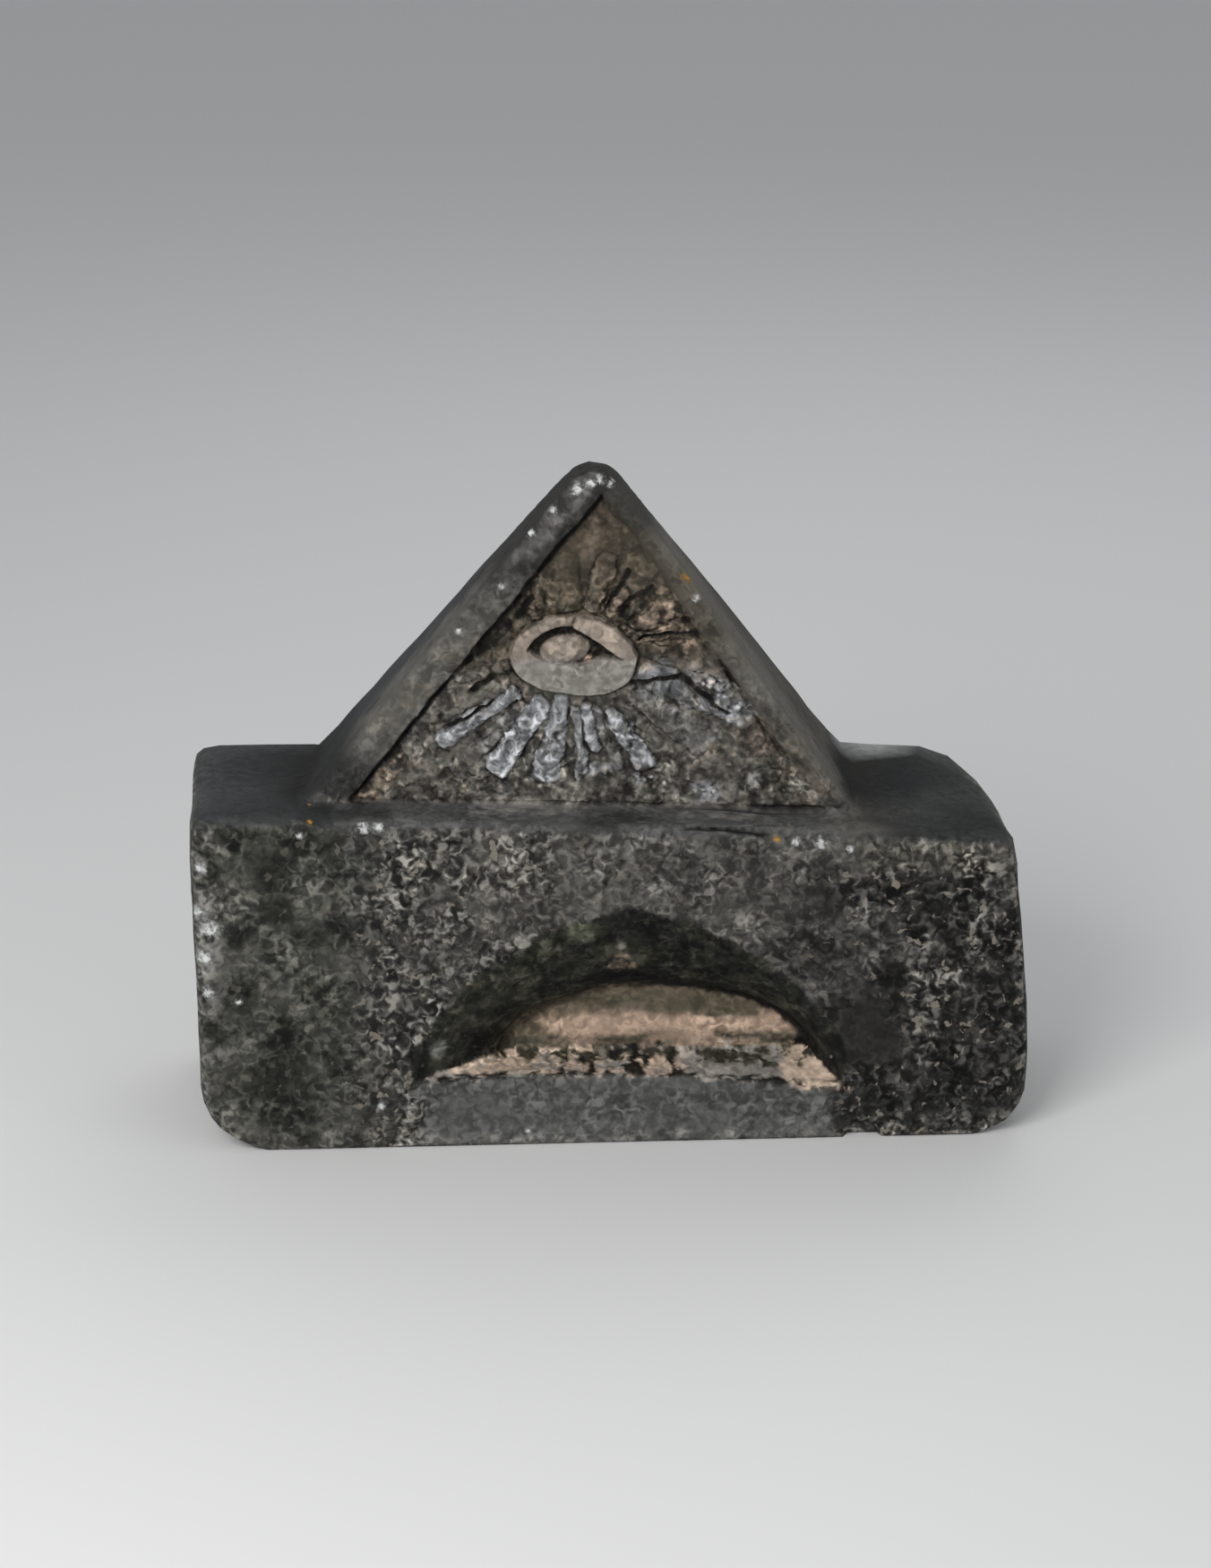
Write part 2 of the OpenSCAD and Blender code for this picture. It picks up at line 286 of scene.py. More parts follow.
def near_cuts(x, z):
    """1 in the middle of the nearest cut, 0 outside them all."""
    nearest = np.zeros(len(x))
    for (x0, z0), (x1, z1), half in CUTS:
        along = (x1 - x0, z1 - z0)
        t = ((x - x0) * along[0] + (z - z0) * along[1]) / (along[0] ** 2 + along[1] ** 2)
        t = np.clip(t, 0, 1)
        away = np.hypot(x - x0 - t * along[0], z - z0 - t * along[1])
        nearest = np.maximum(nearest, step(1.6, 0.4, away / half))
    return nearest


def spots(x, z, places):
    """How far inside the nearest of several round spots: 1 at a middle, 0 outside."""
    nearest = np.zeros(len(x))
    for place_x, place_z, radius in places:
        nearest = np.maximum(nearest, 1 - np.hypot(x - place_x, z - place_z) / radius)
    return nearest


def eye_parts(dx, dz, waver):
    """Height of the eye about its centre, with masks of its lids, ball and opening."""
    c, s = math.cos(EYE_TILT), math.sin(EYE_TILT)
    u, v = dx * c + dz * s, dz * c - dx * s
    angle, reach = np.arctan2(v, u - 1), np.hypot(u - 1, v)
    power = np.where(v > 0, 1.75, 2.45)
    cu, sv = np.abs(np.cos(angle)) * 2 / EYE_W, np.abs(np.sin(angle)) * 2 / EYE_H
    outside = reach - (cu**power + sv**power) ** (-1 / power) + waver

    # The opening: a bowed upper left edge, a straight upper right edge, a shallow floor.
    left = np.clip((-3 - u) / 32.5, 0, 1)
    right = np.clip((u + 3) / 40.6, 0, 1)
    left_roof = 21 * (1 - left**2) ** 0.7
    right_roof = 21 * (1 - right) * (1 + 0.12 * right)
    roof = np.where(u < -3, left_roof, right_roof)
    floor = 0.6 - 8 * (1 - np.clip(np.abs(u + 6) / 27, 0, 1) ** 2.4)
    within = 0.8 * np.minimum(roof - v, v - floor) + 0.6 * waver
    opening = step(-1, 0.8, within) * (np.abs(u - 1.2) < 36.5)
    lids = step(0.4, -1.8, outside) * (1 - opening)

    # The right bar stands proud of the left one, and the lower lid slopes outwards.
    share = np.clip(-outside / np.maximum(-outside - within, 1), 0, 1)
    upper = step(-4, 4, v - 2 + 0.1 * u)
    seam = u + 2.6 - 0.3 * (v - 22)
    rise = blend(0.76 + 0.2 * share, blend(0.78, 1, step(-1, 1.2, seam)), upper)
    rise = rise * (0.86 + 0.14 * np.sqrt(np.clip(1 - (2 * share - 1) ** 4, 0, 1)))
    seam_dark = np.exp(-((seam + 0.8) / 1.3) ** 2) * step(10, 17, v)
    height = LID_RISE * lids * rise * (1 - 0.5 * seam_dark)
    tilt = math.radians(15)
    bu, bv = u + 6.5, v - 2.8
    bu, bv = bu * math.cos(tilt) + bv * math.sin(tilt), bv * math.cos(tilt) - bu * math.sin(tilt)
    ball = np.sqrt(np.clip(1 - (bu / 19.5) ** 2 - (bv / 11.8) ** 2, 0, 1))
    height = np.maximum(height, BALL_RISE * ball)
    gap = opening * (1 - step(0, 0.4, ball))
    return height, lids, ball, gap, step(3, -1, outside)


def ray_parts(dx, dz, flat):
    """Height and paleness of the rays about the eye's centre, their sides worn and wavering."""
    height, pale = np.zeros(len(dx)), np.zeros(len(dx))
    waver = 3.4 * layered_noise(flat, 11, 50, 3, 0.65)
    for i, (degrees, r0, r1, w0, w1, rise, whiteness) in enumerate(RAYS):
        a = math.radians(degrees)
        along = dx * math.cos(a) + dz * math.sin(a)
        ends_worn = 3 * value_noise(flat, 7, 90 + i)
        across = dz * math.cos(a) - dx * math.sin(a) + waver
        t = np.clip((along - r0) / (r1 - r0), 0, 1)
        half = blend(w0, w1, t) / 2 + 1.3
        over = np.maximum(np.maximum(r0 - along, along - r1) + ends_worn, 0)
        off = np.hypot(across, 1.3 * over) / half
        profile = np.clip(1 - off**5, 0, 1) ** 0.6
        worn = 1 - 0.6 * step(-0.1, 0.6, layered_noise(flat, 13, 60 + i, 2))
        worn *= blend(1, 0.35 + 0.65 * whiteness, step(0.5, 1, t))
        height = np.maximum(height, 1.2 * rise * profile * worn)
        pale = np.maximum(pale, whiteness * step(0.1, 0.6, profile))
    return height, pale


def panel_parts(p):
    """Height of everything carved in the sunk panel, above its plane, with its masks."""
    x, z = p[:, 0], p[:, 2]
    flat = np.stack([x, np.zeros(len(x)), z], axis=1)
    dx, dz = x - EYE_X, z - EYE_Z
    reach, angle = np.hypot(dx, dz), np.arctan2(dz, dx)
    eye, lids, ball, gap, eye_area = eye_parts(dx, dz, 1.5 * layered_noise(flat, 13, 135, 3, 0.6))
    rays, pale = ray_parts(dx, dz, flat)
    heap = np.zeros(len(x))
    for place_x, place_z, radius, whiteness in RUBBLE:
        near = step(1.2, 0.3, np.hypot(x - place_x, z - place_z) / radius)
        heap = np.maximum(heap, near)
        pale = np.maximum(pale, whiteness * near)

    # Ground: streaks that radiate, lumps low down, broken heaps, and cracks between rays.
    low_down = step(385, 300, z)
    ring = 1 - 0.5 * step(112, 95, reach)
    calm = step(425, 450, z + 0.25 * x)
    streak = np.stack([70 * angle, 0.5 * reach, np.zeros(len(x))], axis=1)
    lumps = layered_noise(flat, 10, 70, 3, 0.6)
    rough = (0.9 + 1.2 * low_down) * layered_noise(streak, 7, 80, 2) + (1.3 + 1.8 * low_down) * lumps
    pebble = pits(flat, 10, 95, 0.8) + 0.6 * pits(flat, 5.5, 98, 0.7)
    splintered = step(0, 0.35, spots(x, z, SHATTERED))
    rough += 2.4 * splintered * np.clip(3 * splinter_noise(p), -1, 1)
    rough += 4 * pebble * np.maximum(heap, 0.55 * low_down * (ring - 0.5))
    rough *= ring * (1 - 0.75 * calm)
    crack = np.exp(-((layered_noise(streak, 9, 110, 2)) / 0.05) ** 2) * (1 - calm)
    crack *= step(0.1, -0.25, lumps) * step(0, 8, reach - 40)
    cuts = near_cuts(x + 2 * lumps, z + 2 * value_noise(flat, 8, 140))
    base = 1.3 + rough - 2 * crack
    knobs = 0.45 * value_noise(flat, 4.5, 145)
    ground = np.maximum(base, rays + 0.45 * rough + knobs * step(1, 3, rays))
    ground = ground - (ground + 1.5) * 0.8 * cuts
    eye_rough = 0.35 * layered_noise(flat, 9, 120, 3, 0.6) + 0.25 * value_noise(flat, 3.2, 125)
    crumb = step(1.2, 0.5, np.hypot((x + 19) / 13, (z - 383 + 0.2 * (x + 19)) / 4.5)) * gap
    in_gap = 0.3 + 3.5 * crumb * (0.5 + pits(flat, 5, 138, 0.9))
    inside_eye = np.where(gap > 0.5, in_gap, eye + 1.6 * eye_rough)
    height = blend(ground, inside_eye, eye_area)

    # The borders: a crisp wall on the left, a worn uneven one on the right.
    wander = 1.3 * layered_noise(flat, 24, 130, 3)
    left_in = inside_left(x, z) + 1.5 * wander
    left_wall = 1 - step(-0.6, 1.6, left_in)
    right_in = inside_right(x, z) + 3 * wander
    spread = 1 + 3 * step(320, 280, z)
    right_wall = 1 - step(-3 * spread, 3 * spread, right_in)
    heel = (3.5 + 4 * np.maximum(lumps, -0.3)) * step(18, 7, right_in) * step(2.5, 6, right_in)
    heel *= step(440, 390, z)
    height = np.maximum(height, heel)
    border = PANEL_SUNK - 1.6 * step(-6, 1.5, left_in) - 2.6 * step(-11, 1, right_in)
    height = blend(height, border + 0.3 * lumps, np.maximum(left_wall, right_wall))
    return height, SimpleNamespace(
        lids=lids, ball=ball, gap=gap, crumb=crumb, rays=rays, pale=pale, heap=heap, calm=calm,
        crack=crack, cuts=cuts, pebble=pebble, lumps=lumps, low=low_down, left_in=left_in)


# ---- the stone
def fresh_stone():
    """A closed copy of the CAD solid in small even faces."""
    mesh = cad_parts[NODE].data.copy()
    mesh.materials.clear()
    stone = bpy.data.objects.new("carved_stone", mesh)
    bpy.context.scene.collection.objects.link(stone)
    weld = stone.modifiers.new("Weld", "WELD")
    weld.merge_threshold = WELD * MM
    applied(stone, weld)
    even = stone.modifiers.new("Even faces", "REMESH")
    even.mode = "VOXEL"
    even.voxel_size = VOXEL * MM * 1
    applied(stone, even)
    return stone


def niche_zone(x, y, z):
    """1 inside the niche, behind the block's front face."""
    zone = step(FRONT + 0.8, FRONT + 4.5, y) * (y < FRONT + NICHE_D + 9) * (z < NICHE_TOP)
    return zone * (z > NICHE_LOW) * (np.abs(x - NICHE_X) < NICHE_REACH)


def gable_slopes(n, above):
    """1 on the gable's two raking faces."""
    return step(0.3, 0.6, np.abs(n[:, 0])) * step(10, 20, above)


def front_face(n, y):
    """1 on the block's front."""
    return step(0.5, 0.9, -n[:, 1]) * step(FRONT + 12, FRONT + 2, y)


def wear_down(p, n, ends, chip):
    """Wear rounds every arris. The right rake and the gable's feet are the softest."""
    x, y, z = p.T
    above = z - top_plane(x, y)
    left, right = inside_left(x, z), inside_right(x, z)
    made = smoothed(p, ends, 18, np.where(z < 6, 0.35, 0.9))
    foot = np.exp(-((above - 2) / 11) ** 2) * (y > GABLE_Y - 12)
    foot *= step(2, -6, np.minimum(left, right))
    made = smoothed(made, ends, 40, foot)
    standing = step(4, 16, above)
    near_front = step(GABLE_Y + 70, GABLE_Y + 30, y)
    made[:, 1] = smoothed(made[:, 1], ends, 110, step(0, -8, right) * standing * near_front)
    made[:, 1] = smoothed(made[:, 1], ends, 70, step(-12, -20, left) * standing * near_front)
    off_edge = 1 - step(-14, -4, -np.abs(y - GABLE_Y))
    made = smoothed(made, ends, 50, gable_slopes(n, above) * off_edge)
    lip = (y < FRONT + 16) * (np.abs(x - NICHE_X) < 185) * (z < NICHE_TOP) * (z > sill_line(x) + 7)
    made = smoothed(made, ends, 45, lip.astype(float))
    return smoothed(made, ends, 26, chip)


def weathering(p, n, convex, chip, in_panel):
    """Depth that weather has cut from each vertex."""
    x, y, z = p.T
    above = z - top_plane(x, y)
    front, slopes, niche = front_face(n, y), gable_slopes(n, above), niche_zone(x, y, z)

    # Hewn, weathered faces: broad hollows, grain and pits.
    rough = 0.3 + front * (0.35 + 0.5 * step(-210, -90, x + 0.25 * (z - 130)))
    rough *= 1 - 0.75 * step(0.6, 0.9, n[:, 2])
    sill = step(sill_line(x) - 2, sill_line(x) - 12, z) * step(185, 150, np.abs(x - NICHE_X)) * front
    rough *= 1 - 0.7 * sill
    gable = step(4, 14, above)
    rough = np.where(gable > 0.5, 0.4, rough)
    cut = 1.1 * (1 - layered_noise(p, 110, 1, 2)) + 0.5 * (1 - layered_noise(p, 24, 5, 3))
    cut += 1.5 * rough * np.maximum(layered_noise(p, 9, 9, 3, 0.65) + 0.35, 0)
    crumbled = gable * step(0, 60, x) * step(110, 40, above + 20 * layered_noise(p, 30, 57, 2))
    crumbled *= 1 - 0.5 * slopes
    cut += 2.2 * crumbled * np.maximum(layered_noise(p, 10, 54, 3, 0.65) + 0.3, 0)
    cut += 0.35 * gable * (1 - 0.8 * slopes) * (1 + layered_noise(p, 3.4, 52, 2))
    pitted = np.flatnonzero((rough > 0.45) & (in_panel == 0))
    hole = np.zeros(len(p))
    hole[pitted] = pits(p[pitted], 12, 20, 0.35) + 0.8 * pits(p[pitted], 6, 30, 0.5)
    cut += 1.4 * rough * hole * step(-0.3, 0.4, layered_noise(p, 45, 33, 2))

    # Chips along the arrises, and a ragged edge round the chip in the bed.
    sharp = step(0.5, 2.2, convex) * (1 - in_panel)
    cut += 4 * sharp * step(0.12, 0.75, layered_noise(p, 20, 40, 3))
    cut += 3 * chip * np.maximum(layered_noise(p, 11, 42, 2) + 0.5, 0)

    # The niche: a broken line along its ledge's back and along the sill's front edge.
    ledge = step(9, 2, np.abs(z - SILL_H + 1)) * step(3, 9, y - FRONT) * niche
    edge = step(8, 1.5, np.hypot(0.8 * (y - FRONT), z - sill_line(x)))
    edge *= np.abs(x - NICHE_X) < SILL_REACH
    broken = layered_noise(p * (1, 0.5, 1), 12, 45, 4, 0.6)
    cut += np.clip(9 * broken + 1, 0, 6.5) * np.maximum(0.8 * ledge, edge)
    cut += 0.8 * niche * (1 - ledge) * (1 - layered_noise(p, 14, 47, 3))

    # Slits in the ledge under the panel, and a faint crack above the niche.
    on_ledge = step(0.5, 0.8, n[:, 2]) * step(-14, -9, above) * step(9, 5, above)
    cut += 3.4 * slit_depth(x, y + 2 * value_noise(p, 16, 51)) * on_ledge
    seam = np.exp(-((x + 8 - 2 * value_noise(p, 14, 49)) / 1.3) ** 2)
    cut += seam * step(178, 192, z) * step(236, 218, z) * front

    cut *= 1 - 0.9 * in_panel
    cut *= step(0, 5, z)
    return cut * (1 - 0.6 * step(BACK - 6, BACK - 1, y))


def detail_kept(p, n, in_panel):
    """How much to spare each vertex when the mesh is thinned, from 0 to 1."""
    x, y, z = p.T
    above = z - top_plane(x, y)
    border_front = step(0.4, 0.8, -n[:, 1]) * step(6, 14, above) * (1 - (y > GABLE_Y + 6))
    crusts = spots(x, z, WHITE_LICHEN + ORANGE_LICHEN) > 0
    fine = np.maximum.reduce([
        0.38 * np.maximum(front_face(n, y), niche_zone(x, y, z)),
        0.36 * border_front,
        0.45 * gable_slopes(n, above) * (y < GABLE_Y + 60),
        0.8 * crusts * (y < GABLE_Y + 8) * (n[:, 1] < -0.15),
        0.3 * (y < GABLE_Y + 6) * (n[:, 2] > 0.5) * (np.abs(x + 20) < 200)])
    return np.clip(0.06 + fine + 0.9 * in_panel, 0.05, 1)


def sculpt(stone):
    """Wears the arrises, carves the panel, weathers the faces and thins what is left."""
    mesh = stone.data
    ends = edge_ends(mesh)
    p, n = positions(mesh), normals(mesh)
    x, y, z = p.T
    chip = step(30, 14, np.hypot(x - CHIP_X, z - 6)) * (y < FRONT + 60) * step(0, 3, z)
    made = wear_down(p, n, ends, chip)
    convex = np.einsum("ij,ij->i", made - smoothed(made, ends, 34), n)

    # The sunk panel's floor and borders become the carved relief.
    in_panel = step(-8, -5, inside_left(x, z)) * step(-14, -10, inside_right(x, z))
    in_panel *= step(0.5, 4, z - top_plane(x, y)) * (y < PANEL_Y + 4) * (y > GABLE_Y - 4)
    carved = np.flatnonzero(in_panel > 0)
    height, _ = panel_parts(made[carved])
    made[carved, 1] = blend(made[carved, 1], PANEL_Y - height, in_panel[carved])

    # Weather cuts inwards, and the bed stays flat.
    move_to(mesh, made)
    cut = weathering(p, n, convex, chip, in_panel)
    made = made - normals(mesh) * cut[:, None]
    made[:, 2] = np.where(z < 0.6, 0, np.maximum(made[:, 2], 0))
    move_to(mesh, made)
    favour_front(stone, detail_kept(p, n, in_panel))


def favour_front(stone, keep):
    """Thins the mesh under its face limit, leaving more faces where keep is nearer 1."""
    group = stone.vertex_groups.new(name="thin")
    levels = np.round((1 - keep) * 8).astype(int)
    for level in range(9):
        chosen = np.flatnonzero(levels == level).tolist()
        if chosen:
            group.add(chosen, level / 8, "REPLACE")
    mesh = stone.data
    triangles = 2 * len(mesh.polygons)
    if triangles > FACE_LIMIT:
        thin = stone.modifiers.new("Thin", "DECIMATE")
        thin.ratio = FACE_LIMIT / triangles
        thin.vertex_group = "thin"
        thin.vertex_group_factor = 1
        applied(stone, thin)
    stone.vertex_groups.clear()
    for polygon in stone.data.polygons:
        polygon.use_smooth = True


# ---- staining, with painted light and shade
# Spots of lichen on the front and the gable: place and radius.
WHITE_LICHEN = [
    (-320, 202, 13), (-310, 188, 15), (-315, 164, 11), (-314, 237, 8), (-313, 135, 9), (-289, 127, 5),
    (-192, 267, 8), (-180, 267, 8), (137, 249, 7), (156, 248, 8), (178, 243, 6), (-138, 80, 9),
    (-28, 519, 8), (-19, 524, 8), (-11, 526, 6), (-3, 524, 6), (-46, 503, 6), (-63, 486, 6),
    (-85, 445, 5), (-117, 411, 5), (61, 434, 6), (-69, 13, 5), (-183, 37, 6), (-240, 262, 5)]
ORANGE_LICHEN = [(-232, 272, 5), (122, 251, 5), (57, 451, 11), (86, 422, 8), (-71, 492, 7)]
BARE_STONE, BARE_MOTTLE = (72, 71, 67), 0.6


def linear(rgb):
    """The linear colour for values written from 0 to 255."""
    v = np.clip(np.array(rgb) / 255, 0, 1)
    return np.where(v <= 0.04045, v / 12.92, ((v + 0.055) / 1.055) ** 2.4)


class Surface:
    """The carved surface, with the colour and the mottling laid on each vertex so far."""

    def __init__(self, mesh):
        p, n, ends = positions(mesh), normals(mesh), edge_ends(mesh)
        self.p = p
        self.sideways, self.forward, self.up = n[:, 0], -n[:, 1], n[:, 2]
        self.x, self.y, self.z = p.T
        self.above = self.z - top_plane(self.x, self.y)
        self.hollow = np.einsum("ij,ij->i", smoothed(p, ends, 5) - p, n)
        self.wide = np.einsum("ij,ij->i", smoothed(p, ends, 24) - p, n)
        self.patch = layered_noise(p, 70, 200, 4)
        self.blotch = layered_noise(p, 26, 210, 4, 0.6)
        self.medium = layered_noise(p, 13, 250, 3, 0.6)
        self.small = layered_noise(p, 9, 220, 3, 0.6)
        self.rgb = np.full((len(p), 3), BARE_STONE, dtype=float)
        self.mottle = np.full(len(p), BARE_MOTTLE)

    def away(self, place_x, place_z, wide=1, high=1):
        """Distance from a place, seen from the front and stretched by each factor."""
        return np.hypot(wide * (self.x - place_x), high * (self.z - place_z))

    def coat(self, colour, amount):
        """Lays a colour, written from 0 to 255, over what is there."""
        self.rgb += (np.array(colour) - self.rgb) * np.clip(amount, 0, 1)[:, None]

    def mottled(self, strength, amount):
        """Sets how strongly the stone is mottled."""
        self.mottle = blend(self.mottle, strength, amount)


# The sections lay their coats in order. Some return the mask that later ones need.
def stain_front(s):
    """Front of the block: olive on the left, paler and rough in the middle, blackish right."""
    x, z, blotch, small = s.x, s.z, s.blotch, s.small
    front = step(FRONT + 16, FRONT + 5, s.y) * step(0.3, 0.7, s.forward)
    front *= step(1, -16, s.above + 9 * blotch)
    shift = x + 40 * s.patch + 25 * blotch
    cloud = blotch + 0.4 * s.patch
    olive = front * step(-150, -230, shift)
    s.coat((74, 72, 68), front)
    s.coat((53, 53, 48), front * step(-160, -230, shift))
    s.coat((34, 35, 30), olive * step(0, 0.35, cloud))
    s.coat((82, 81, 76), olive * step(0.1, -0.35, cloud) * 0.7)
    # Painted light on the rounded left edge, which catches the light from the left.
    s.coat((86, 84, 80), front * step(-286, -312, x) * step(-0.2, 0.2, small))
    s.coat((34, 33, 31), front * step(100, 195, shift) * step(236, 208, z + 14 * blotch))
    s.coat((20, 20, 19), front * step(150, 220, shift) * step(0, 0.3, blotch) * step(224, 200, z))
    s.coat((98, 96, 91), front * step(-0.05, -0.4, blotch) * step(-160, -90, shift) * 0.45)
    s.coat((56, 55, 52), front * step(-225, -190, x) * step(-100, -130, x) * 0.55)
    s.coat((50, 49, 46), front * step(0.05, 0.4, blotch) * step(-190, -130, shift) * 0.5)
    s.coat((72, 70, 63), front * step(150, 200, x) * step(212, 236, z + 12 * small + 8 * blotch) * 0.6)

    # A pale crust on the left arris, and a smooth dark patch right of the niche.
    crust = front * step(24, 8, s.away(-316, 176, 1.1, 0.6) + 7 * small)
    s.coat((134, 132, 127), crust * step(-0.35, 0, s.medium) * 0.8)
    smooth_dark = front * step(30, 8, s.away(193, 92, 0.75, 0.62) + 16 * blotch + 6 * small)
    s.coat((40, 39, 37), smooth_dark * 0.9)
    s.coat((92, 90, 84), front * step(30, 12, z) * step(-0.3, 0.2, small) * 0.7)
    s.mottled(0.75 + 0.5 * step(-230, -150, x) * step(-20, -110, x), front)
    s.mottled(1.25, front * step(150, 215, shift))
    s.mottled(0.25, smooth_dark)
    s.mottled(0.65, front * step(-170, -260, shift))


def stain_sill(s):
    """The plain sill below the niche."""
    x, z, small = s.x, s.z, s.small
    sill = step(sill_line(x) + 1, sill_line(x) - 4, z + 2 * small) * (s.y < FRONT + 8)
    sill *= step(178, 150, np.abs(x - NICHE_X) + 12 * s.blotch) * step(0.3, 0.7, s.forward)
    s.coat((80, 80, 78), sill)
    s.coat((96, 95, 91), sill * step(24, 10, z) * step(-0.2, 0.3, small))
    s.coat((122, 120, 114), sill * step(13, 6, z + 4 * s.medium) * step(-0.3, 0.2, small) * 0.8)
    s.mottled(0.4, sill)


def stain_shoulders(s):
    """Smooth charcoal shoulders, paler along their rims."""
    x, y, above, patch, blotch = s.x, s.y, s.above, s.patch, s.blotch
    shoulder = step(0.35, 0.75, s.up) * step(-16, -6, above) * step(14, 5, above) * (s.z > 200)
    s.coat((46, 47, 48), shoulder)
    s.coat((31, 32, 32), shoulder * step(170, 220, x) * 0.8)
    s.coat((68, 68, 66), shoulder * step(0, 0.5, blotch + 0.4 * patch) * 0.6)
    rim = np.maximum(step(BACK - 26, BACK - 8, y), step(RIGHT - 60, RIGHT - 25, np.abs(x)))
    s.coat((82, 84, 84), shoulder * rim * step(-0.3, 0.3, blotch) * 0.7)
    under_panel = shoulder * step(GABLE_Y + 30, GABLE_Y + 8, y) * (x > -215) * (x < 175)
    s.coat((90, 89, 86), under_panel * 0.8)
    s.coat((38, 39, 38), shoulder * step(0.1, 0.45, patch + 0.4 * blotch) * 0.6)
    s.mottled(0.16, shoulder)
    s.mottled(0.28, under_panel)

    # Painted shade, near black, in the slits under the panel, a white crust on the rear rim, crumbs by
    # the right foot.
    flat_top = step(0.2, 0.5, s.up) * step(-16, -6, above) * step(14, 5, above)
    # Painted shade in the slits.
    slit_shade = slit_depth(x, y + 2 * value_noise(s.p, 16, 51))
    s.coat((14, 14, 14), step(0.25, 0.6, slit_shade) * flat_top)
    rear_rim = step(BACK - 27, BACK - 20, y + 5 * s.medium) * step(182, 196, x) * step(268, 236, x)
    s.coat((190, 192, 189), rear_rim * step(0.2, 0.5, s.up) * step(-22, -12, above) * 0.9)
    crumbs = shoulder * step(240, 190, x + 20 * blotch) * (x > 100) * step(0, 0.3, s.medium)
    s.coat((92, 88, 80), crumbs * 0.75)
    return shoulder


def stain_gable(s):
    """The gable's borders: warm grey in front, dark along the left slope with a bluish tint of painted
    sky light, and with painted light on the right-facing slope near the front.
    """
    x, y, z, above, blotch, medium = s.x, s.y, s.z, s.above, s.blotch, s.medium
    sideways, forward = s.sideways, s.forward
    border = step(3, 12, above)
    slopes = border * step(0.25, 0.5, np.abs(sideways))
    s.coat((86, 84, 79), border)
    s.coat((58, 57, 55), border * step(0.05, 0.4, blotch) * 0.75)
    s.coat((104, 101, 95), border * step(-0.1, -0.45, blotch) * 0.6)
    # Painted sky light: a bluish tint on the left slope, which faces up towards the light.
    slope_back = border * step(-42, 8, y + 14 * blotch)
    s.coat((56, 59, 61), slope_back * step(0.25, 0.5, np.abs(sideways)) * step(20, -40, x) * 0.9)
    s.coat((58, 58, 56), border * step(0.2, 0.5, -forward) * 0.8)

    # The right half is browner, and crumbled towards its foot.
    right_half = border * step(-20, 10, x) * (forward > -0.3)
    s.coat((70, 67, 61), right_half * 0.85)
    s.coat((58, 55, 50), right_half * step(0.1, 0.45, blotch) * 0.6)
    s.coat((92, 88, 80), right_half * step(0, -0.4, blotch) * 0.6)
    s.coat((72, 66, 56), right_half * step(390, 420, z + 8 * blotch) * 0.6)
    s.coat((102, 100, 95), right_half * step(395, 370, z) * step(60, 100, above) * (0.5 + 0.3 * blotch))
    crumbled = right_half * step(110, 40, above + 14 * blotch)
    s.coat((100, 93, 83), crumbled * step(-0.1, 0.35, medium) * 0.8)
    s.coat((52, 49, 44), crumbled * step(0, 0.4, -medium) * 0.8)
    left_band = border * step(-10, -40, x) * step(0.6, 0.9, forward) * step(430, 400, z)
    left_band *= step(50, 80, above)
    s.coat((104, 97, 88), left_band * step(0.05, 0.4, medium + 0.6 * s.patch) * 0.6)
    # Painted light: the right-facing slope is painted lighter near the front, and darker further back.
    turned_right = right_half * step(0.1, 0.7, sideways)
    s.coat((112, 109, 102), turned_right * step(GABLE_Y + 90, GABLE_Y + 40, y) * 0.75)
    s.coat((84, 82, 77), turned_right * step(GABLE_Y + 40, GABLE_Y + 90, y) * 0.6)

    # Darker at the apex and along the feet, with a pale trail down the left band.
    s.coat((46, 45, 44), border * step(415, 465, z + 14 * blotch) * step(10, -20, x) * 0.85)
    s.coat((48, 47, 45), border * step(470, 500, z) * 0.7)
    trail = border * step(10, 4, np.abs(inside_left(x, z) + 15) + 5 * s.small) * step(432, 450, z)
    s.coat((104, 101, 98), trail * step(-0.15, 0.25, medium) * (x < 4) * (forward > 0.4) * 0.75)
    foot = step(66, 30, above + 14 * blotch) * step(-180, -205, x)
    foot = np.maximum(foot, step(30, 8, above + 8 * blotch) * (1 - 0.8 * right_half))
    s.coat((44, 44, 43), foot * border)
    s.mottled(0.36, border)
    s.mottled(0.1, slopes)
    s.mottled(0.5, border * right_half * step(60, 20, above) * (1 - slopes))


